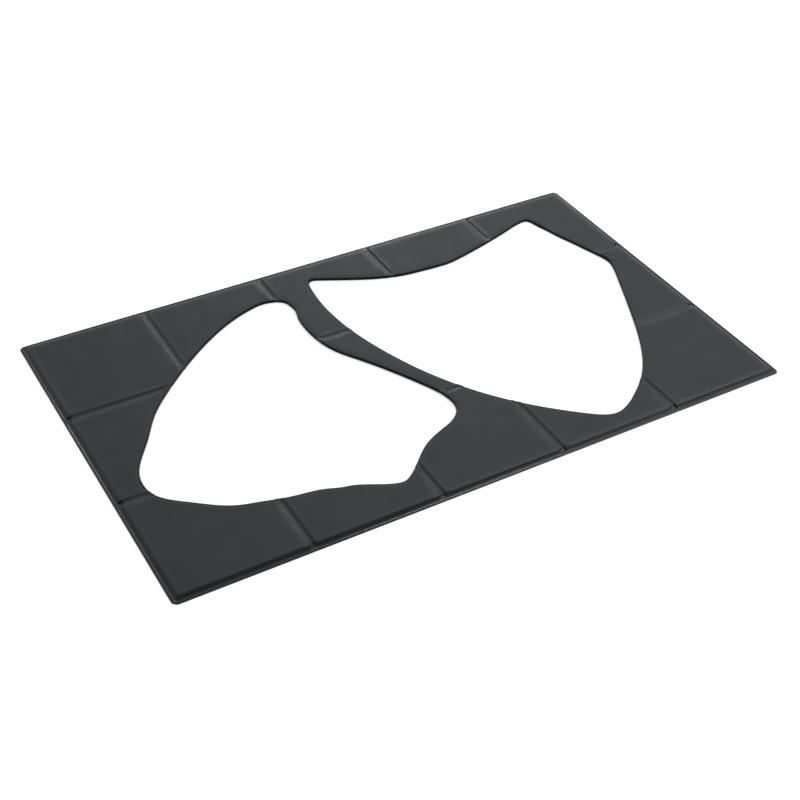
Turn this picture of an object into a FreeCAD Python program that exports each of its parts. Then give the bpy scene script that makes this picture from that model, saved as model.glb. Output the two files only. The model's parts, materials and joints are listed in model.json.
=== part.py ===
import FreeCAD, Part
import os

# Folding panel mat: thirteen stiff boards, each sealed in its own pocket between two vinyl sheets.
# The sheets are welded to each other along the creases and round the outer rim, and two shaped
# windows go right through. X runs along the long side, Y to the far side, Z up. The origin is the
# middle of the underside.

DIMENSIONS = [
    ("pitch", 180, "side of one square panel, crease centre to crease centre"),
    ("columns", 5, "panels along X"),
    ("rows", 3, "panels along Y"),
    ("thickness", 5, "whole mat"),
    ("skin", 0.8, "each vinyl sheet"),
    ("groove", 9, "welded crease between two panels"),
    ("rim", 9, "welded rim round the outside"),
    ("corner", 9, "radius of the four outer corners"),
    ("gap", 0.3, "between a crease and the panel that swings on it"),
]

COLUMNS = (1, 2, 3, 4, 5)
ROWS = ("near", "middle", "far")
EMPTY_CELLS = (("middle", 2), ("middle", 4))

LEFT_WINDOW = [
    (-120, 206), (-141, 200), (-217, 160), (-301, 91), (-344, 44), (-368, 6), (-403, -55),
    (-401, -92), (-368, -126), (-318, -159), (-293, -166), (-254, -176), (-211, -184), (-192, -191),
    (-183, -193), (-128, -217), (-119, -218), (-110, -214), (-61, -172), (-21, -153), (-11, -149),
    (14, -124), (15, -100), (2, -65), (-51, 30), (-68, 58), (-82, 132), (-79, 156), (-75, 171),
    (-76, 185), (-79, 195), (-94, 205),
]
RIGHT_WINDOW = [
    (-29, 216), (-31, 204), (-28, 92), (-11, 27), (9, -26), (72, -132), (160, -219), (184, -234),
    (200, -236), (210, -233), (250, -208), (267, -194), (337, -93), (389, 19), (399, 42), (404, 60),
    (397, 93), (383, 137), (378, 151), (370, 180), (364, 200), (356, 217), (348, 217), (320, 209),
    (202, 175), (192, 173), (169, 172), (133, 174), (112, 176), (79, 184), (-12, 225), (-19, 227),
]

doc = FreeCAD.newDocument("FoldingMat")


def make_sheet():
    """Driving dimensions, one row each: value, alias and meaning."""
    sheet = doc.addObject("Spreadsheet::Sheet", "Dims")
    for row, (alias, value, meaning) in enumerate(DIMENSIONS, start=1):
        sheet.set("A%d" % row, str(value))
        sheet.setAlias("A%d" % row, alias)
        sheet.set("B%d" % row, meaning)
    doc.recompute()
    return sheet


def bind(piece, **expressions):
    for name, expression in expressions.items():
        piece.setExpression(name.replace("_", "."), expression)


def box(name, x_span, y_span, z_span):
    """A block between three pairs of expressions."""
    block = doc.addObject("Part::Box", name)
    bind(block, Length="(%s) - (%s)" % x_span[::-1], Width="(%s) - (%s)" % y_span[::-1])
    bind(block, Height="(%s) - (%s)" % z_span[::-1])
    bind(block, Placement_Base_x=x_span[0], Placement_Base_y=y_span[0], Placement_Base_z=z_span[0])
    return block


def boolean(kind, name, base, tool):
    piece = doc.addObject("Part::" + kind, name)
    piece.Base = base
    piece.Tool = tool
    return piece


def closed_curve(points):
    curve = Part.BSplineCurve()
    curve.interpolate(points, PeriodicFlag=True)
    return curve


def grown_curve(curve, points, margin):
    """The same closed curve, moved outward by the margin. Its points run anticlockwise."""
    moved = []
    for point in points:
        along = curve.tangent(curve.parameter(point))[0]
        moved.append(point + FreeCAD.Vector(along.y, -along.x, 0) * margin)
    return closed_curve(moved)


def window_cutter(name, corners, margin):
    """The window as a tall block, on a sketch of its outline grown by the margin in millimetres."""
    points = [FreeCAD.Vector(x, y, 0) for x, y in corners]
    curve = closed_curve(points)
    if margin:
        curve = grown_curve(curve, points, margin)
    sketch = doc.addObject("Sketcher::SketchObject", name + "_outline")
    sketch.addGeometry(curve, False)
    cutter = doc.addObject("Part::Extrusion", name)
    cutter.Base = sketch
    cutter.Dir = FreeCAD.Vector(0, 0, 1)
    cutter.Solid = True
    bind(cutter, LengthFwd="Dims.thickness * 2", LengthRev="Dims.thickness")
    return cutter


def blank(name, margin):
    """The whole mat as one block with rounded corners and both windows cut out."""
    x_span = ("Dims.columns * Dims.pitch / -2", "Dims.columns * Dims.pitch / 2")
    y_span = ("Dims.rows * Dims.pitch / -2", "Dims.rows * Dims.pitch / 2")
    piece = box(name + "_block", x_span, y_span, ("0", "Dims.thickness"))
    doc.recompute()
    rounded = doc.addObject("Part::Fillet", name + "_rounded")
    rounded.Base = piece
    radius = doc.Dims.corner
    upright = [i for i, edge in enumerate(piece.Shape.Edges, start=1) if abs(edge.tangentAt(0).z) > 0.5]
    rounded.Edges = [(i, radius, radius) for i in upright]
    piece = rounded
    for side, corners in (("left", LEFT_WINDOW), ("right", RIGHT_WINDOW)):
        cutter = window_cutter("%s_%s_window" % (name, side), corners, margin)
        piece = boolean("Cut", "%s_%s_cut" % (name, side), piece, cutter)
    return piece


def crease_line(index, count):
    """Where crease number index lies on an axis that holds count panels."""
    return "Dims.pitch * (%d - Dims.%s / 2)" % (index, count)


def panel_span(index, last, count, inset):
    """One panel's two faces on an axis; the inset moves both faces in."""
    low_margin = "Dims.rim" if index == 1 else "Dims.groove / 2"
    high_margin = "Dims.rim" if index == last else "Dims.groove / 2"
    low = "%s + %s + %s" % (crease_line(index - 1, count), low_margin, inset)
    high = "%s - %s - %s" % (crease_line(index, count), high_margin, inset)
    return low, high


def sheet_span(index, last, count):
    """As panel_span, but out to the edge of the mat on the outer sides."""
    low = crease_line(index - 1, count) + ("" if index == 1 else " + Dims.groove / 2")
    high = crease_line(index, count) + ("" if index == last else " - Dims.groove / 2")
    return low, high


def spans(row, column, inset=None):
    """X and Y spans of a cell: of its sheets, or of its raised panel when an inset is given."""
    number = ROWS.index(row) + 1
    if inset is None:
        return sheet_span(column, 5, "columns"), sheet_span(number, 3, "rows")
    return panel_span(column, 5, "columns", inset), panel_span(number, 3, "rows", inset)


def cut_piece(label, span_pair, z_span, stock):
    """The part of the stock that lies inside one block."""
    block = box(label + "_block", span_pair[0], span_pair[1], z_span)
    return boolean("Common", label, block, stock)


def make_base(row, column, stock):
    label = "%s_%d_base_sheet" % (row, column)
    return cut_piece(label, spans(row, column), ("0", "Dims.skin"), stock)


def make_board(row, column, inner_stock):
    label = "%s_%d_board" % (row, column)
    z_span = ("Dims.skin", "Dims.thickness - Dims.skin")
    return cut_piece(label, spans(row, column, "Dims.skin"), z_span, inner_stock)


def make_cover(row, column, stock, board):
    """The top sheet: raised over the board, down its sides, and out over the rim."""
    label = "%s_%d_cover_sheet" % (row, column)
    raised = cut_piece(label + "_raised", spans(row, column, "0"), ("Dims.skin", "Dims.thickness"), stock)
    brim = cut_piece(label + "_brim", spans(row, column), ("Dims.skin", "Dims.skin * 2"), stock)
    whole = boolean("Fuse", label + "_whole", raised, brim)
    return boolean("Cut", label, whole, board)


def make_cross_crease(row, column, stock):
    """The welded strip between this panel and the next one along X."""
    centre = crease_line(column, "columns")
    x_span = (centre + " - Dims.groove / 2", centre + " + Dims.groove / 2 - Dims.gap")
    label = "%s_crease_%d_%d" % (row, column, column + 1)
    return cut_piece(label, (x_span, spans(row, column)[1]), ("0", "Dims.skin * 2"), stock)


def make_long_crease(row, next_row, column, stock):
    """The welded strip between this panel and the next one along Y."""
    centre = crease_line(ROWS.index(row) + 1, "rows")
    y_span = (centre + " - Dims.groove / 2", centre + " + Dims.groove / 2 - Dims.gap")
    label = "%s_%s_crease_%d" % (row, next_row, column)
    return cut_piece(label, (spans(row, column)[0], y_span), ("0", "Dims.skin * 2"), stock)


def make_panels(stock, inner_stock):
    pieces = []
    for row in ROWS:
        for column in COLUMNS:
            if (row, column) in EMPTY_CELLS:
                continue
            board = make_board(row, column, inner_stock)
            pieces += [make_base(row, column, stock), board, make_cover(row, column, stock, board)]
    return pieces


def make_creases(stock):
    pieces = [make_cross_crease(row, column, stock) for row in ("near", "far") for column in COLUMNS[:-1]]
    for row, next_row in zip(ROWS, ROWS[1:]):
        pieces += [make_long_crease(row, next_row, column, stock) for column in (1, 3, 5)]
    return pieces


def check_document():
    for piece in doc.Objects:
        if "Invalid" in piece.State or "Error" in piece.State:
            raise RuntimeError("%s did not build" % piece.Label)
        if hasattr(piece, "Shape") and (piece.Shape.isNull() or not piece.Shape.isValid()):
            raise RuntimeError("%s has a bad shape" % piece.Label)


def export(pieces):
    os.makedirs("parts", exist_ok=True)
    for piece in pieces:
        if len(piece.Shape.Solids) != 1:
            raise RuntimeError("%s should be one solid" % piece.Label)
        piece.Shape.exportStep("parts/%s.step" % piece.Label)


make_sheet()
mat_stock = blank("stock", 0)
board_stock = blank("inner_stock", doc.Dims.skin)
all_pieces = make_panels(mat_stock, board_stock) + make_creases(mat_stock)
doc.recompute()
check_document()
export(all_pieces)
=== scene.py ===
import json
import math

import bmesh
import bpy
from bpy.props import FloatProperty, FloatVectorProperty, PointerProperty
from mathutils import Matrix, Vector
from mathutils.bvhtree import BVHTree
from mathutils.kdtree import KDTree

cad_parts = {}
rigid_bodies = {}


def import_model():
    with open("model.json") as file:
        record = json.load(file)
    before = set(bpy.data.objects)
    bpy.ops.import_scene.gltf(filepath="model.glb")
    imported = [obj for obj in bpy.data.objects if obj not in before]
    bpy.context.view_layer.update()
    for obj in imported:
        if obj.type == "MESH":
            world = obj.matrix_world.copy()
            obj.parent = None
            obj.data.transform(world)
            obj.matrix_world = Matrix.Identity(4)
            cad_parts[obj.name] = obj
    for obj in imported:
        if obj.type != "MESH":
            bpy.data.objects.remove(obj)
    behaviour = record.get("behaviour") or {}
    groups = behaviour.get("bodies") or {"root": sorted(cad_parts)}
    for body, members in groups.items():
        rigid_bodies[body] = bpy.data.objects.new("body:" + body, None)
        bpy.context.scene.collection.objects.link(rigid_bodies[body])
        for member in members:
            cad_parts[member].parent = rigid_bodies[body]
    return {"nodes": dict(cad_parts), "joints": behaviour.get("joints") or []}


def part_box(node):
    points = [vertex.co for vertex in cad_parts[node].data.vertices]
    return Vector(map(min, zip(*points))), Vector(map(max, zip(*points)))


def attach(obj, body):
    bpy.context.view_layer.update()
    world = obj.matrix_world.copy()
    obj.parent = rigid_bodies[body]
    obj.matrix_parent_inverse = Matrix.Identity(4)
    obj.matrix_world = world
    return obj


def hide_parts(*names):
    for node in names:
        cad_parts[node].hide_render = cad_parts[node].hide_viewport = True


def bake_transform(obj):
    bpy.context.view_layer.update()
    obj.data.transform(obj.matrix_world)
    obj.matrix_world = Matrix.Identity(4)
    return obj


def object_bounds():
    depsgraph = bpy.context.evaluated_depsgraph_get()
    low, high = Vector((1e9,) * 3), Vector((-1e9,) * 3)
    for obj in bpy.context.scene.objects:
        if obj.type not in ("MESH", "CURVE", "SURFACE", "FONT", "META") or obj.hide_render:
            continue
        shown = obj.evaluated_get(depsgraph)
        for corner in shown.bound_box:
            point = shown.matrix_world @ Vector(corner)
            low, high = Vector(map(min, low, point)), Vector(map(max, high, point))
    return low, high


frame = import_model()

bl_info = {
    "name": "Folding work mat",
    "version": (1, 0, 0),
    "blender": (4, 5, 0),
    "location": "View3D > Sidebar > Work mat",
    "description": "Black vinyl covers, welded creases, boards and a studio for a folding work mat",
    "category": "Add Mesh",
}

MILLIMETRE = 0.001
CAD_LOW, CAD_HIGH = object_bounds()
NEARLY = 0.5 * MILLIMETRE  # places closer than this count as the same
ONE_POINT = 1e-6  # vertices closer than this are one, in metres
LEVEL = 0.9  # a face whose normal's Z is over this is level
UPRIGHT = 0.3  # a face whose normal's Z is under this, either way up, is a wall
STRAIGHT = 0.9999995  # a wall whose normal is nearer an axis than this is straight
FLAT_ANGLE = math.radians(0.2)  # faces that meet at less than this are joined
SMOOTH_ANGLE = math.radians(40)  # faces that meet at less than this are shaded as one curve

# Creases. A place across one is a share of the groove's width, and one from the mat's edge is in rim widths
RISE_START = 0.8  # where a crease starts to rise from the rim
RISE_LENGTH = 0.6  # how far it takes to rise
END_HEIGHT = 0.93  # share of the cover's height that a crease's end reaches at a window
RIDGE_PLACE = 0.18  # where the ridge of gathered vinyl runs
RIDGE_HALF = 0.16  # half of the ridge's width
RIDGE_WAVES = ((0.06, 190, 0), (0.03, 430, 1))  # each wave's size, radians along a metre, and start
WRINKLES = 5  # half waves across the groove
WRINKLE_SLANT = 40  # how the wrinkles lean, in radians along a metre

# Studio, in metres. A way is the azimuth and elevation of a direction from the mat
LOOK_OFFSET = Vector((-0.0424, -0.074, 0))  # from the mat's middle to where the camera looks
BOX_DISTANCE = 3  # from the mat to the low and the front soft box
LOW_BOX_WAY = (math.radians(151), math.radians(31))
FRONT_BOX_WAY = (math.radians(50), math.radians(28))
SIDE_BOX_PLACE = Vector((1.15, 0.1, 1.5))
SIDE_BOX_TARGET = Vector((0.3, 0, 0))
SKY_WAY = (math.radians(135), 0)  # towards the brightest part of the sky
SKY_EDGE = 0.7  # how far to either side of the mat the sky goes on changing


# Places, read from the frame

def cells():
    """Names of the panels, such as near_1."""
    return sorted(name[: -len("_board")] for name in frame["nodes"] if name.endswith("_board"))


def creases():
    """Names of the welded strips between two panels."""
    return sorted(name for name in frame["nodes"] if "_crease_" in name)


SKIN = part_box("near_1_base_sheet")[1].z
RIM_TOP = 2 * SKIN
MAT_TOP = CAD_HIGH.z
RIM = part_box("near_1_board")[0].x - SKIN - CAD_LOW.x
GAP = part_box("near_2_base_sheet")[0].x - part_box("near_crease_1_2")[1].x
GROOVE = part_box("near_2_base_sheet")[0].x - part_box("near_1_base_sheet")[1].x


def inset(point):
    """How far a place lies inside the mat's outline, whose corners are as round as the rim is wide."""
    centre, half = (CAD_LOW + CAD_HIGH) / 2, (CAD_HIGH - CAD_LOW) / 2
    reach = [abs(point[axis] - centre[axis]) - (half[axis] - RIM) for axis in (0, 1)]
    return RIM - math.hypot(max(reach[0], 0), max(reach[1], 0)) - min(max(reach), 0)


def window_tree(spacing):
    """Points all round both windows, from the curved walls of the CAD sheets and creases."""
    points = []
    for node in [cell + "_base_sheet" for cell in cells()] + creases():
        mesh = frame["nodes"][node].data
        for face in mesh.polygons:
            normal = face.normal
            straight = max(abs(normal.x), abs(normal.y)) > STRAIGHT
            if abs(normal.z) > UPRIGHT or straight or inset(face.center) < RIM / 2:
                continue
            flat = [mesh.vertices[index].co.xy for index in face.vertices]
            first = flat[0]
            last = max(flat, key=lambda place: (place - first).length)
            steps = max(1, round((last - first).length / spacing))
            points += [first.lerp(last, step / steps) for step in range(steps + 1)]
    tree = KDTree(len(points))
    for index, point in enumerate(points):
        tree.insert((*point, 0), index)
    tree.balance()
    return tree


WINDOWS = window_tree(MILLIMETRE)


def to_window(point):
    """How far a place is from the nearest window."""
    return WINDOWS.find((point[0], point[1], 0))[2]


def ease(value):
    """0 below 0, 1 above 1, and a smooth step between."""
    value = min(max(value, 0), 1)
    return value * value * (3 - 2 * value)


# Sizes and colours

class MatSizes(bpy.types.PropertyGroup):
    """Shapes that the vinyl takes over the boards."""

    shoulder: FloatProperty(
        name="Shoulder", description="Radius of a panel's top edge", unit="LENGTH", default=1.9 * MILLIMETRE
    )
    foot: FloatProperty(
        name="Foot", description="Radius where a panel's wall meets the rim", unit="LENGTH",
        default=1.4 * MILLIMETRE,
    )
    small_round: FloatProperty(
        name="Small round", description="Radius of the outer edge and the windows' edge", unit="LENGTH",
        default=0.6 * MILLIMETRE,
    )
    grid: FloatProperty(
        name="Grid", description="Spacing of the cuts over a panel", unit="LENGTH", default=9 * MILLIMETRE
    )
    fine_grid: FloatProperty(
        name="Fine grid", description="Spacing of the cuts beside a window, on the rim and on a crease",
        unit="LENGTH", default=1.5 * MILLIMETRE,
    )
    ripple: FloatProperty(
        name="Ripple", description="Height of the waves in the cover", unit="LENGTH", default=0.2 * MILLIMETRE
    )
    ripple_length: FloatProperty(
        name="Ripple length", description="Length of the waves in the cover", unit="LENGTH",
        default=60 * MILLIMETRE,
    )
    drape: FloatProperty(
        name="Drape", description="How far out from the board the cover lands on the rim", unit="LENGTH",
        default=3.0 * MILLIMETRE,
    )
    weld_top: FloatProperty(
        name="Weld top", description="Height of the pressed weld", unit="LENGTH", default=1.2 * MILLIMETRE
    )
    bead_start: FloatProperty(
        name="Bead start", description="Where the rim's bead starts to fall, from the edge", unit="LENGTH",
        default=1.8 * MILLIMETRE,
    )
    bead_end: FloatProperty(
        name="Bead end", description="Where the rim's bead meets the weld, from the edge", unit="LENGTH",
        default=4.6 * MILLIMETRE,
    )
    edge_fall: FloatProperty(
        name="Edge fall", description="How far the rim is rounded off at its edge", unit="LENGTH",
        default=0.5 * MILLIMETRE,
    )
    lip: FloatProperty(
        name="Lip", description="Width of the slope round a window", unit="LENGTH", default=7 * MILLIMETRE
    )
    lip_drop: FloatProperty(
        name="Lip drop", description="How far the cover falls to a window", unit="LENGTH",
        default=0.5 * MILLIMETRE,
    )
    crease_top: FloatProperty(
        name="Crease top", description="Height of a crease along its middle", unit="LENGTH",
        default=3.2 * MILLIMETRE,
    )
    crease_side: FloatProperty(
        name="Crease side", description="Height where a crease runs up to a panel's shoulder", unit="LENGTH",
        default=4.5 * MILLIMETRE,
    )
    end_rise: FloatProperty(
        name="End rise", description="Length of a crease's raised end at a window", unit="LENGTH",
        default=8 * MILLIMETRE,
    )
    fold_line: FloatProperty(
        name="Fold line", description="Depth of the line under the middle of a crease", unit="LENGTH",
        default=0.2 * MILLIMETRE,
    )
    ridge: FloatProperty(
        name="Ridge", description="Height of the wavy ridge of gathered vinyl along one side of a crease",
        unit="LENGTH", default=0.6 * MILLIMETRE,
    )
    wrinkle: FloatProperty(
        name="Wrinkle", description="Height of the wrinkles in the neck between the windows", unit="LENGTH",
        default=0.45 * MILLIMETRE,
    )
    tuck: FloatProperty(
        name="Tuck", description="How far a crease runs in under a wall", unit="LENGTH",
        default=0.3 * MILLIMETRE,
    )


class MatColours(bpy.types.PropertyGroup):
    """Base colours of the finishes."""

    cover: FloatVectorProperty(
        name="Cover", description="Satin vinyl on top", subtype="COLOR", size=3,
        default=(0.0085, 0.0100, 0.018),
    )
    underside: FloatVectorProperty(
        name="Underside", description="Matt vinyl below", subtype="COLOR", size=3,
        default=(0.018, 0.018, 0.02),
    )
    board: FloatVectorProperty(
        name="Board", description="Stiff grey core", subtype="COLOR", size=3, default=(0.13, 0.13, 0.14)
    )
    floor: FloatVectorProperty(
        name="Floor", description="Pale studio floor", subtype="COLOR", size=3, default=(0.9, 0.9, 0.9)
    )


class StudioSizes(bpy.types.PropertyGroup):
    """Camera and lights."""

    lens: FloatProperty(name="Lens", description="Focal length in millimetres", default=62.7)
    distance: FloatProperty(
        name="Distance", description="From the camera to where it looks", unit="LENGTH", default=1.857
    )
    azimuth: FloatProperty(
        name="Azimuth", description="Turn round the mat from the front", subtype="ANGLE",
        default=math.radians(-31.4),
    )
    elevation: FloatProperty(
        name="Elevation", description="Height over the floor", subtype="ANGLE", default=math.radians(39.4)
    )
    roll: FloatProperty(
        name="Roll", description="Turn about the lens axis", subtype="ANGLE", default=math.radians(2.07)
    )
    sky_front: FloatProperty(name="Sky in front", description="Strength of the light in front", default=0.1)
    sky_back: FloatProperty(name="Sky behind", description="Strength of the light behind", default=1.05)
    low_box: FloatProperty(
        name="Low soft box", description="Power of the soft box low down behind the mat", unit="POWER",
        default=7.0,
    )
    side_box: FloatProperty(
        name="Side soft box", description="Power of the soft box over the right side", unit="POWER",
        default=6.0,
    )
    front_box: FloatProperty(
        name="Front soft box", description="Power of the soft box low in front, to the right", unit="POWER",
        default=5.0,
    )
    table: FloatProperty(
        name="Light table", description="Strength of the light that comes through the floor", default=0.5
    )


# Modelling helpers

def deselect():
    if bpy.context.object and bpy.context.object.mode != "OBJECT":
        bpy.ops.object.mode_set(mode="OBJECT")
    bpy.ops.object.select_all(action="DESELECT")


def activate(piece):
    deselect()
    piece.select_set(True)
    bpy.context.view_layer.objects.active = piece


def copy_of_node(node, name):
    """A loose copy of a CAD node's mesh, merged and with its flat faces joined, left in edit mode."""
    mesh = frame["nodes"][node].data.copy()
    mesh.name = name
    mesh.materials.clear()
    piece = bpy.data.objects.new(name, mesh)
    bpy.context.scene.collection.objects.link(piece)
    activate(piece)
    bpy.ops.object.mode_set(mode="EDIT")
    bpy.ops.mesh.select_all(action="SELECT")
    bpy.ops.mesh.remove_doubles(threshold=ONE_POINT)
    bpy.ops.mesh.customdata_custom_splitnormals_clear()
    bpy.ops.mesh.dissolve_limited(angle_limit=FLAT_ANGLE)
    return piece


def select(piece, mode, test):
    """Selects the faces or edges of the piece in edit mode that pass the test, and counts them."""
    bpy.ops.mesh.select_mode(type=mode)
    bpy.ops.mesh.select_all(action="DESELECT")
    shape = bmesh.from_edit_mesh(piece.data)
    shape.normal_update()
    chosen = [part for part in (shape.faces if mode == "FACE" else shape.edges) if test(part)]
    for part in chosen:
        part.select_set(True)
    shape.select_flush_mode()
    bmesh.update_edit_mesh(piece.data)
    return len(chosen)


def need(count, what):
    if not count:
        raise RuntimeError("found no " + what)


def cut(axis, place, **how):
    """Cuts what is selected across an axis, 0 for X and 1 for Y."""
    point, normal = [0, 0, 0], [0, 0, 0]
    point[axis], normal[axis] = place, 1
    bpy.ops.mesh.bisect(plane_co=point, plane_no=normal, threshold=ONE_POINT, **how)


def cut_grid(piece, spacings, test=None):
    """Cuts the faces that pass the test, or the whole piece, into cells of about the spacings in X and Y."""
    if test:
        if not select(piece, "FACE", test):
            return
        bpy.ops.mesh.hide(unselected=True)
    shape = bmesh.from_edit_mesh(piece.data)
    places = [vertex.co.copy() for face in shape.faces if not face.hide for vertex in face.verts]
    for axis in (0, 1):
        low, high = min(place[axis] for place in places), max(place[axis] for place in places)
        count = max(1, round((high - low) / spacings[axis]))
        for step in range(1, count):
            bpy.ops.mesh.select_all(action="SELECT")
            cut(axis, low + (high - low) * step / count)
    bpy.ops.mesh.reveal(select=False)


def add_modifier(piece, kind, **settings):
    modifier = piece.modifiers.new(kind.title(), kind)
    for name, value in settings.items():
        setattr(modifier, name, value)
    bpy.ops.object.modifier_apply(modifier=modifier.name)


def finish_piece(piece, material):
    """Clears what the cuts left over, marks the walls of a window for painted shade, and gives the piece its
    finish.
    """
    activate(piece)
    bpy.ops.object.mode_set(mode="EDIT")
    bpy.ops.mesh.select_all(action="SELECT")
    bpy.ops.mesh.dissolve_degenerate(threshold=ONE_POINT)
    bpy.ops.object.mode_set(mode="OBJECT")
    # marks the walls round a window, where the vinyl reflects far less as painted shade
    wall = piece.data.attributes.new("window_wall_painted_shade", "FLOAT", "POINT")
    for vertex in piece.data.vertices:
        wall.data[vertex.index].value = ease(2 - to_window(vertex.co) / NEARLY)
    give(piece, material)
    bpy.ops.object.shade_smooth_by_angle(angle=SMOOTH_ANGLE)


# Finishes

NOISE_MIDDLE = (0.3, 0.7)  # most of a noise value lies between these


def new_material(name, colour, roughness):
    """A node material with one Principled shader, and the places where its pattern is read."""
    material = bpy.data.materials.new(name)
    material.use_nodes = True
    nodes, links = material.node_tree.nodes, material.node_tree.links
    shader = nodes["Principled BSDF"]
    shader.inputs["Base Color"].default_value = (*colour, 1)
    shader.inputs["Roughness"].default_value = roughness
    place = nodes.new("ShaderNodeTexCoord").outputs["Object"]
    return material, nodes, links, shader, place


def noise(nodes, links, place, scale, detail=2.0):
    texture = nodes.new("ShaderNodeTexNoise")
    texture.inputs["Scale"].default_value = scale
    texture.inputs["Detail"].default_value = detail
    links.new(place, texture.inputs["Vector"])
    return texture.outputs["Fac"]


def map_range(nodes, links, value, given, wanted):
    """Maps a value from one range, a pair of limits, onto another, and holds it at their ends."""
    ranges = nodes.new("ShaderNodeMapRange")
    for name, limit in zip(("From Min", "From Max", "To Min", "To Max"), (*given, *wanted)):
        ranges.inputs[name].default_value = limit
    links.new(value, ranges.inputs["Value"])
    return ranges.outputs["Result"]


def tint(nodes, links, value, dark, light):
    ramp = nodes.new("ShaderNodeValToRGB")
    for element, position, colour in zip(ramp.color_ramp.elements, NOISE_MIDDLE, (dark, light)):
        element.position = position
        element.color = (*colour, 1)
    links.new(value, ramp.inputs["Fac"])
    return ramp.outputs["Color"]


def bump(nodes, links, value, strength, distance, before=None):
    node = nodes.new("ShaderNodeBump")
    node.inputs["Strength"].default_value = strength
    node.inputs["Distance"].default_value = distance
    links.new(value, node.inputs["Height"])
    if before:
        links.new(before, node.inputs["Normal"])
    return node.outputs["Normal"]


def scaled(colour, factor):
    return tuple(channel * factor for channel in colour)


def by_height(nodes, links, place, heights, values):
    """A value that goes from the first to the second between two heights in the piece."""
    split = nodes.new("ShaderNodeSeparateXYZ")
    links.new(place, split.inputs["Vector"])
    return map_range(nodes, links, split.outputs["Z"], heights, values)


def combine(nodes, links, operation, first, second):
    node = nodes.new("ShaderNodeMath")
    node.operation = operation
    links.new(first, node.inputs[0])
    links.new(second, node.inputs[1])
    return node.outputs["Value"]


def from_mark(nodes, links, mark, plain, marked):
    """A value that goes from plain to marked with one of the piece's own marks."""
    attribute = nodes.new("ShaderNodeAttribute")
    attribute.attribute_name = mark
    return map_range(nodes, links, attribute.outputs["Fac"], (0, 1), (plain, marked))


def vinyl(name, colour, roughness, weld_roughness, grain):
    """Satin vinyl: cloudy, with a fine pressed grain, glossier welds and edges, and window walls that reflect
    far less, as painted shade.
    """
    material, nodes, links, shader, place = new_material(name, colour, roughness)
    # painted shade: the walls round a window reflect far less, so they look as dark as shaded walls
    specular_with_painted_shade = from_mark(nodes, links, "window_wall_painted_shade", plain=0.35, marked=0.06)
    links.new(specular_with_painted_shade, shader.inputs["Specular IOR Level"])
    clouds = noise(nodes, links, place, scale=14.0, detail=3.0)
    clouded = tint(nodes, links, clouds, dark=scaled(colour, 0.85), light=scaled(colour, 1.15))
    links.new(clouded, shader.inputs["Base Color"])
    smears = noise(nodes, links, place, scale=33.0, detail=4.0)
    sheen = map_range(nodes, links, smears, NOISE_MIDDLE, (-0.02, 0.03))
    heights = (RIM_TOP, RIM_TOP + MILLIMETRE)
    gloss = by_height(nodes, links, place, heights, (weld_roughness, roughness))
    rubbed = combine(nodes, links, "ADD", gloss, from_mark(nodes, links, "polish", plain=0, marked=-0.3))
    links.new(combine(nodes, links, "ADD", rubbed, sheen), shader.inputs["Roughness"])
    pores = noise(nodes, links, place, scale=1500.0)
    pressed = bump(nodes, links, pores, strength=grain, distance=0.06 * MILLIMETRE)
    swells = noise(nodes, links, place, scale=40.0)
    slow = bump(nodes, links, swells, strength=0.1, distance=0.4 * MILLIMETRE, before=pressed)
    links.new(slow, shader.inputs["Normal"])
    return material


def board_finish(colour):
    """Sawn plastic board: a fine speckle and a dull face."""
    material, nodes, links, shader, place = new_material("Sawn_board", colour, roughness=0.8)
    speckle = noise(nodes, links, place, scale=900.0, detail=3.0)
    speckled = tint(nodes, links, speckle, dark=scaled(colour, 0.8), light=scaled(colour, 1.2))
    links.new(speckled, shader.inputs["Base Color"])
    sawn = bump(nodes, links, speckle, strength=0.3, distance=0.2 * MILLIMETRE)
    links.new(sawn, shader.inputs["Normal"])
    return material


def give(piece, material):
    piece.data.materials.clear()
    piece.data.materials.append(material)


# Covers

def is_level(face, height):
    return face.normal.z > LEVEL and abs(face.calc_center_median().z - height) < NEARLY


def is_upright(face):
    return abs(face.normal.z) < UPRIGHT


def sheet_outline(cell, name):
    """The outline of a panel's sheets as one level face at the height of the rim."""
    piece = copy_of_node(cell + "_base_sheet", name)
    need(select(piece, "FACE", lambda face: not is_level(face, SKIN)), "underside of " + name)
    bpy.ops.mesh.delete(type="FACE")
    bpy.ops.mesh.select_all(action="SELECT")
    bpy.ops.transform.translate(value=(0, 0, RIM_TOP - SKIN))
    return piece


def raise_panel(piece, cell):
    """Lifts the cover off the rim, over the board."""
    low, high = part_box(cell + "_board")
    for axis in (0, 1):
        for place, edge in ((low[axis] - SKIN, CAD_LOW[axis]), (high[axis] + SKIN, CAD_HIGH[axis])):
            if abs(abs(place - edge) - RIM) < NEARLY:
                bpy.ops.mesh.select_all(action="SELECT")
                cut(axis, place)

    def over_board(face):
        middle = face.calc_center_bounds()
        inside = [low[axis] - SKIN < middle[axis] < high[axis] + SKIN for axis in (0, 1)]
        return all(inside)

    need(select(piece, "FACE", over_board), "raised face of " + cell)
    bpy.ops.mesh.extrude_region_move(TRANSFORM_OT_translate={"value": (0, 0, MAT_TOP - RIM_TOP)})
    # a panel with no rim keeps its old face
    if select(piece, "FACE", lambda face: face.normal.z < -LEVEL):
        bpy.ops.mesh.delete(type="FACE")
    need(select(piece, "EDGE", lambda edge: edge.is_boundary and is_upright(edge.link_faces[0])), "open wall")
    bpy.ops.mesh.extrude_region_move(TRANSFORM_OT_translate={"value": (0, 0, SKIN - RIM_TOP)})


def edge_between(edge, height):
    """True for an edge between an upright wall and a level face at that height."""
    faces = edge.link_faces
    if len(faces) != 2:
        return False
    return any(is_level(face, height) for face in faces) and any(is_upright(face) for face in faces)


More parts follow.
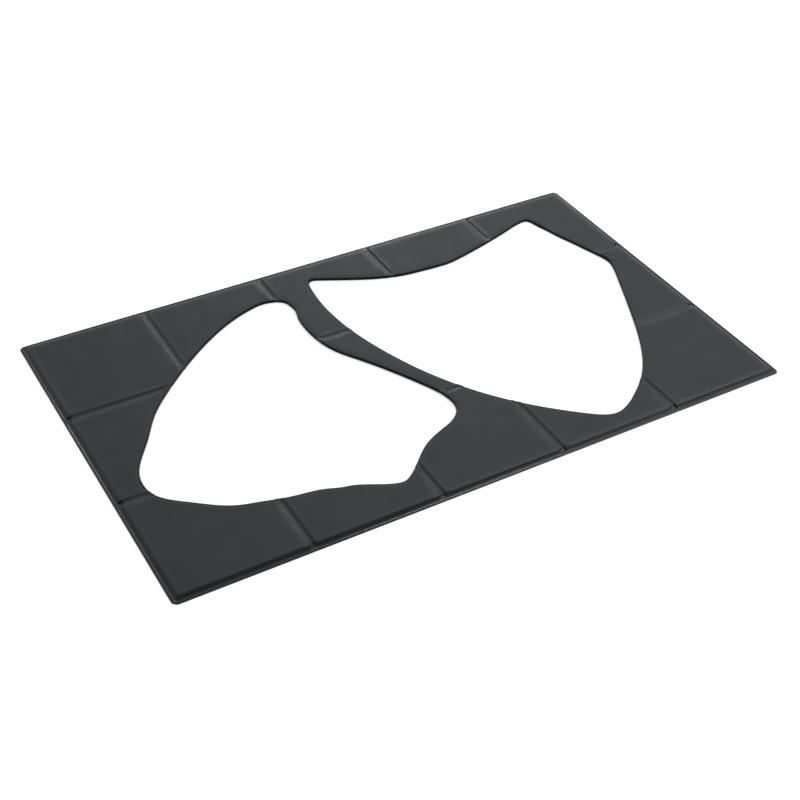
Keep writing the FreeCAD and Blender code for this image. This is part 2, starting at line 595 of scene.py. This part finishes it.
def weigh_edges(piece, sizes):
    """Marks how round each edge of the raised sheet becomes, as a share of the shoulder's radius."""
    shape = bmesh.from_edit_mesh(piece.data)
    weight = shape.edges.layers.float.new("bevel_weight_edge")
    small = sizes.small_round / sizes.shoulder
    count = 0
    for edge in shape.edges:
        middle = (edge.verts[0].co + edge.verts[1].co) / 2
        if edge_between(edge, MAT_TOP):
            edge[weight] = small if to_window(middle) < NEARLY else 1
            count += 1
        elif edge_between(edge, RIM_TOP):
            edge[weight] = sizes.foot / sizes.shoulder if inset(middle) > RIM / 2 else small
    bmesh.update_edit_mesh(piece.data)
    need(count, "top edges")


def ripple_texture(sizes):
    texture = bpy.data.textures.get("cover_ripple") or bpy.data.textures.new("cover_ripple", "CLOUDS")
    texture.noise_scale = sizes.ripple_length
    texture.noise_depth = 2
    return texture


def ripple_top(piece, sizes):
    """Gives the stretched top sheet its slight waves, and none to its walls."""
    group = piece.vertex_groups.new(name="top")
    top = [vertex.index for vertex in piece.data.vertices if vertex.co.z > MAT_TOP - 0.1 * MILLIMETRE]
    group.add(top, 1.0, "REPLACE")
    add_modifier(
        piece, "DISPLACE", texture=ripple_texture(sizes), texture_coords="LOCAL", direction="Z",
        strength=sizes.ripple, mid_level=1.0, vertex_group="top",
    )


def bead(place, sizes):
    """How high the rim's bead stands over the weld."""
    fall = (inset(place) - sizes.bead_start) / (sizes.bead_end - sizes.bead_start)
    return (RIM_TOP - sizes.weld_top) * (1 - ease(fall))


def rim_height(place, sizes):
    """Height of the rim: rounded off at the edge, then the bead, then the weld beside the panel."""
    edge = max(0, 1 - inset(place) / sizes.bead_start)
    return sizes.weld_top + bead(place, sizes) - sizes.edge_fall * edge * edge


def drape(place, sizes):
    """Moves a place on the outer walls outwards, more so towards the foot, to slope the cover to the rim."""
    rise = min(max((place.z - RIM_TOP) / (MAT_TOP - RIM_TOP), 0), 1)
    for axis in (0, 1):
        for edge, outward in ((CAD_LOW[axis], -1), (CAD_HIGH[axis], 1)):
            inside = abs(place[axis] - edge)
            if inside < RIM + sizes.shoulder + NEARLY:
                share = ease((inside - sizes.bead_start) / (RIM - sizes.foot - sizes.bead_start))
                place[axis] += outward * sizes.drape * (1 - rise) * share


def press(piece, sizes):
    """Presses the rim down inside its bead, and slopes the cover down to the rim and to the windows."""
    for vertex in piece.data.vertices:
        place = vertex.co
        drape(place, sizes)
        if place.z > MAT_TOP - sizes.shoulder:
            near = max(0, 1 - to_window(place) / sizes.lip)
            place.z -= sizes.lip_drop * near * ease((place.z - MAT_TOP + sizes.shoulder) / sizes.shoulder)
        elif place.z < RIM_TOP + sizes.foot and inset(place) < RIM + NEARLY:
            sink = (RIM_TOP - rim_height(place, sizes)) * min(1, (place.z - SKIN) / (RIM_TOP - SKIN))
            place.z -= sink * (1 - ease((place.z - RIM_TOP) / sizes.foot))


def polish_edges(piece, cell, sizes):
    """Marks the shoulders over the grooves and the rim, where handling has rubbed the vinyl smooth."""
    low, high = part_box(cell + "_board")
    polish = piece.data.attributes.new("polish", "FLOAT", "POINT")
    for vertex in piece.data.vertices:
        place = vertex.co
        inside = min(min(place[axis] - low[axis], high[axis] - place[axis]) for axis in (0, 1)) + SKIN
        if place.z > RIM_TOP + sizes.foot:
            polish.data[vertex.index].value = ease(1 - (inside - sizes.shoulder / 2) / sizes.shoulder)


def cut_rim(piece, sizes):
    """Cuts the rim finely across its width, and less finely along it."""
    fine = sizes.fine_grid / 3
    for axis, spacings in ((0, (fine, sizes.grid)), (1, (sizes.grid, fine))):

        def along_side(face):
            middle = face.calc_center_median()[axis]
            side = min(middle - CAD_LOW[axis], CAD_HIGH[axis] - middle)
            return is_level(face, RIM_TOP) and side < RIM

        cut_grid(piece, spacings, along_side)


def round_edges(piece, sizes):
    """Rounds the marked edges, and brings back a corner that slid out past the sharp shape."""
    weigh_edges(piece, sizes)
    bpy.ops.object.mode_set(mode="OBJECT")
    places = [vertex.co for vertex in piece.data.vertices]
    sharp = BVHTree.FromPolygons(places, [face.vertices for face in piece.data.polygons])
    add_modifier(
        piece, "BEVEL", width=sizes.shoulder, segments=4, limit_method="WEIGHT", use_clamp_overlap=False
    )
    for vertex in piece.data.vertices:
        place, _, _, distance = sharp.find_nearest(vertex.co)
        if distance > sizes.shoulder / 2:
            vertex.co = place


def make_cover(cell, sizes, material):
    piece = sheet_outline(cell, cell + "_cover")
    raise_panel(piece, cell)
    round_edges(piece, sizes)
    bpy.ops.object.mode_set(mode="EDIT")
    bpy.ops.mesh.select_all(action="SELECT")
    cut_grid(piece, (sizes.grid, sizes.grid))

    def in_lip(face):
        return is_level(face, MAT_TOP) and to_window(face.calc_center_median()) < sizes.lip + sizes.grid

    cut_grid(piece, (sizes.fine_grid, sizes.fine_grid), in_lip)
    cut_rim(piece, sizes)
    bpy.ops.object.mode_set(mode="OBJECT")
    ripple_top(piece, sizes)
    press(piece, sizes)
    add_modifier(piece, "SOLIDIFY", thickness=SKIN, offset=-1)
    for vertex in piece.data.vertices:
        vertex.co.z = max(vertex.co.z, SKIN)
    polish_edges(piece, cell, sizes)
    finish_piece(piece, material)
    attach(piece, cell)
    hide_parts(cell + "_cover_sheet")


# Creases

def neighbours(node):
    """The two panels that a crease joins, and the axis across it: 0 for X, 1 for Y."""
    first, second = node.split("_crease_")
    if "_" in first:
        near, far = first.split("_")
        return near + "_" + second, far + "_" + second, 1
    low, high = second.split("_")
    return first + "_" + low, first + "_" + high, 0


def build_crease(node, name, axis, sizes):
    """A cut copy of the strip that reaches in under both walls, left in edit mode."""
    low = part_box(node)[0][axis]
    high = low + GROOVE
    piece = copy_of_node(node, name)
    bpy.ops.object.mode_set(mode="OBJECT")
    for vertex in piece.data.vertices:
        if vertex.co[axis] > high - GAP - NEARLY:
            vertex.co[axis] = high + sizes.tuck
        elif vertex.co[axis] < low + NEARLY:
            vertex.co[axis] = low - sizes.tuck
    activate(piece)
    bpy.ops.object.mode_set(mode="EDIT")
    fine = sizes.fine_grid / 3
    cut_grid(piece, (fine, sizes.fine_grid) if axis == 0 else (sizes.fine_grid, fine))
    return piece


def shape_crease(piece, node, axis, low, sizes):
    """Presses the strip to the weld's height, with a bead at the rim, raised ends and a wavy ridge."""
    middle = (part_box(node)[0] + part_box(node)[1]) / 2
    wrinkled = node.startswith("near_middle") and to_window(middle) < 2 * RIM  # the neck between the windows
    for vertex in piece.data.vertices:
        place = vertex.co
        across = (place[axis] - low) / GROOVE
        if place.z < NEARLY:
            place.z += sizes.fold_line * max(0, math.sin(math.pi * across))
            continue
        along = place[1 - axis]
        within = ease((inset(place) - RISE_START * RIM) / (RISE_LENGTH * RIM))
        hollow = min(1, abs(2 * across - 1)) ** 2
        side = rim_height(place, sizes)
        side += within * (sizes.crease_top - sizes.weld_top + (sizes.crease_side - sizes.crease_top) * hollow)
        end = (MAT_TOP - sizes.lip_drop - side) * END_HEIGHT * ease(1 - to_window(place) / sizes.end_rise)
        crest = RIDGE_PLACE
        for size, rate, start in RIDGE_WAVES:
            crest += size * math.sin(rate * along + start)
        ridge = sizes.ridge * within * max(0, 1 - ((across - crest) / RIDGE_HALF) ** 2) ** 2
        place.z = side + end + ridge
        if wrinkled and 0 < across < 1:
            wave = math.sin(across * math.pi * WRINKLES + WRINKLE_SLANT * along)
            place.z += sizes.wrinkle * (1 + wave) * math.sin(math.pi * across)


def half_crease(node, body, axis, side, sizes, material):
    """Half of a crease between two panels that no pivot joins, on the panel that it's welded to."""
    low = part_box(node)[0][axis]
    name = node.replace("crease", "weld_low" if side < 0 else "weld_high")
    piece = build_crease(node, name, axis, sizes)
    bpy.ops.mesh.select_all(action="SELECT")
    cut(axis, low + GROOVE / 2, use_fill=True, clear_inner=side > 0, clear_outer=side < 0)
    bpy.ops.object.mode_set(mode="OBJECT")
    shape_crease(piece, node, axis, low, sizes)
    finish_piece(piece, material)
    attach(piece, body)
    return piece


def make_crease(node, sizes, material):
    first, second, axis = neighbours(node)
    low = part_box(node)[0][axis]
    joints = {frozenset((joint["parent"], joint["child"])) for joint in frame["joints"]}
    if frozenset((first, second)) in joints:
        piece = build_crease(node, node.replace("crease", "weld"), axis, sizes)
        bpy.ops.object.mode_set(mode="OBJECT")
        shape_crease(piece, node, axis, low, sizes)
        finish_piece(piece, material)
        start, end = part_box(node)[0].copy(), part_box(node)[0].copy()
        start[axis], end[axis] = low, low + GROOVE
        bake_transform(piece)
        made = [piece]
    else:
        sides = ((first, -1), (second, 1))
        made = [half_crease(node, body, axis, side, sizes, material) for body, side in sides]
    for piece in made:
        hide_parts(node)


# Stage

def add_floor(colour, strength):
    bpy.ops.mesh.primitive_plane_add(size=12, location=(0, 0, CAD_LOW.z))
    floor = bpy.context.object
    floor.name = "floor"
    material, _, _, shader, _ = new_material("Studio_floor", colour, roughness=0.8)
    shader.inputs["Emission Color"].default_value = (1, 1, 1, 1)
    shader.inputs["Emission Strength"].default_value = strength
    give(floor, material)


def add_area_light(name, power, size, place, target):
    bpy.ops.object.light_add(type="AREA", location=place)
    light = bpy.context.object
    light.name = name
    light.data.energy = power
    light.data.shape = "RECTANGLE"
    light.data.size, light.data.size_y = size
    light.rotation_euler = (target - place).to_track_quat("-Z", "Y").to_euler()


def direction(azimuth, elevation):
    """A unit vector from the mat towards a place round it."""
    level = math.cos(elevation)
    return Vector((math.sin(azimuth) * level, -math.cos(azimuth) * level, math.sin(elevation)))


def add_camera(studio):
    target = Vector((CAD_LOW.x + CAD_HIGH.x, CAD_LOW.y + CAD_HIGH.y, 0)) / 2 + LOOK_OFFSET
    back = direction(studio.azimuth, studio.elevation)
    bpy.ops.object.camera_add(location=target + back * studio.distance)
    camera = bpy.context.object
    camera.name = "camera"
    camera.data.lens = studio.lens
    turn = (-back).to_track_quat("-Z", "Y").to_matrix() @ Matrix.Rotation(studio.roll, 3, "Z")
    camera.rotation_euler = turn.to_euler()
    bpy.context.scene.camera = camera


def add_sky(studio):
    """A soft studio cove: bright low down behind the mat, and dim in front."""
    world = bpy.data.worlds.new("Studio")
    bpy.context.scene.world = world
    world.use_nodes = True
    nodes, links = world.node_tree.nodes, world.node_tree.links
    lean = nodes.new("ShaderNodeVectorMath")
    lean.operation = "DOT_PRODUCT"
    links.new(nodes.new("ShaderNodeTexCoord").outputs["Generated"], lean.inputs[0])
    lean.inputs[1].default_value = direction(*SKY_WAY)
    strengths = (studio.sky_front, studio.sky_back)
    strength = map_range(nodes, links, lean.outputs["Value"], (-SKY_EDGE, SKY_EDGE), strengths)
    nodes["Background"].inputs["Color"].default_value = (1, 1, 1, 1)
    links.new(strength, nodes["Background"].inputs["Strength"])


# Operators

class WORKMAT_OT_covers(bpy.types.Operator):
    """Form the cover sheet over each board"""

    bl_idname = "workmat.covers"
    bl_label = "Cover sheets"

    def execute(self, context):
        scene = context.scene
        colour = scene.mat_colours.cover
        material = vinyl("Cover_vinyl", colour, roughness=0.54, weld_roughness=0.16, grain=0.15)
        for cell in cells():
            make_cover(cell, scene.mat_sizes, material)
        return {"FINISHED"}


class WORKMAT_OT_creases(bpy.types.Operator):
    """Weld the creases between the panels"""

    bl_idname = "workmat.creases"
    bl_label = "Welded creases"

    def execute(self, context):
        scene = context.scene
        colour = scene.mat_colours.cover
        material = vinyl("Crease_vinyl", colour, roughness=0.36, weld_roughness=0.16, grain=0.1)
        for node in creases():
            make_crease(node, scene.mat_sizes, material)
        return {"FINISHED"}


class WORKMAT_OT_underside(bpy.types.Operator):
    """Finish the base sheet of each panel"""

    bl_idname = "workmat.underside"
    bl_label = "Base sheets"

    def execute(self, context):
        colour = context.scene.mat_colours.underside
        material = vinyl("Base_vinyl", colour, roughness=0.6, weld_roughness=0.6, grain=0.5)
        for cell in cells():
            give(frame["nodes"][cell + "_base_sheet"], material)
        return {"FINISHED"}


class WORKMAT_OT_boards(bpy.types.Operator):
    """Finish the stiff board in each pocket"""

    bl_idname = "workmat.boards"
    bl_label = "Boards"

    def execute(self, context):
        material = board_finish(context.scene.mat_colours.board)
        for cell in cells():
            give(frame["nodes"][cell + "_board"], material)
        return {"FINISHED"}


class WORKMAT_OT_stage(bpy.types.Operator):
    """Set up the floor, the lights and the camera"""

    bl_idname = "workmat.stage"
    bl_label = "Studio"

    def execute(self, context):
        scene = context.scene
        studio = scene.mat_studio
        scene.view_settings.view_transform = "Standard"
        deselect()
        add_floor(scene.mat_colours.floor, studio.table)
        add_sky(studio)
        middle = (CAD_LOW + CAD_HIGH) / 2
        back = middle + direction(*LOW_BOX_WAY) * BOX_DISTANCE
        front = middle + direction(*FRONT_BOX_WAY) * BOX_DISTANCE
        add_area_light("low_box", studio.low_box, size=(0.8, 0.12), place=back, target=middle)
        add_area_light(
            "side_box", studio.side_box, size=(1, 1), place=SIDE_BOX_PLACE, target=SIDE_BOX_TARGET
        )
        add_area_light("front_box", studio.front_box, size=(1.2, 0.8), place=front, target=middle)
        add_camera(studio)
        return {"FINISHED"}


class WORKMAT_PT_panel(bpy.types.Panel):
    """The steps that build the mat, in order."""

    bl_label = "Work mat"
    bl_idname = "WORKMAT_PT_panel"
    bl_space_type = "VIEW_3D"
    bl_region_type = "UI"
    bl_category = "Work mat"

    def draw(self, context):
        for step in STEPS:
            self.layout.operator(step.bl_idname)


STEPS = (
    WORKMAT_OT_covers,
    WORKMAT_OT_creases,
    WORKMAT_OT_underside,
    WORKMAT_OT_boards,
    WORKMAT_OT_stage,
)
CLASSES = (MatSizes, MatColours, StudioSizes, *STEPS, WORKMAT_PT_panel)


def register():
    for cls in CLASSES:
        bpy.utils.register_class(cls)
    bpy.types.Scene.mat_sizes = PointerProperty(type=MatSizes)
    bpy.types.Scene.mat_colours = PointerProperty(type=MatColours)
    bpy.types.Scene.mat_studio = PointerProperty(type=StudioSizes)


def unregister():
    del bpy.types.Scene.mat_studio
    del bpy.types.Scene.mat_colours
    del bpy.types.Scene.mat_sizes
    for cls in reversed(CLASSES):
        bpy.utils.unregister_class(cls)


def main():
    register()
    bpy.ops.workmat.covers()
    bpy.ops.workmat.creases()
    bpy.ops.workmat.underside()
    bpy.ops.workmat.boards()
    bpy.ops.workmat.stage()


if __name__ == "__main__":
    main()
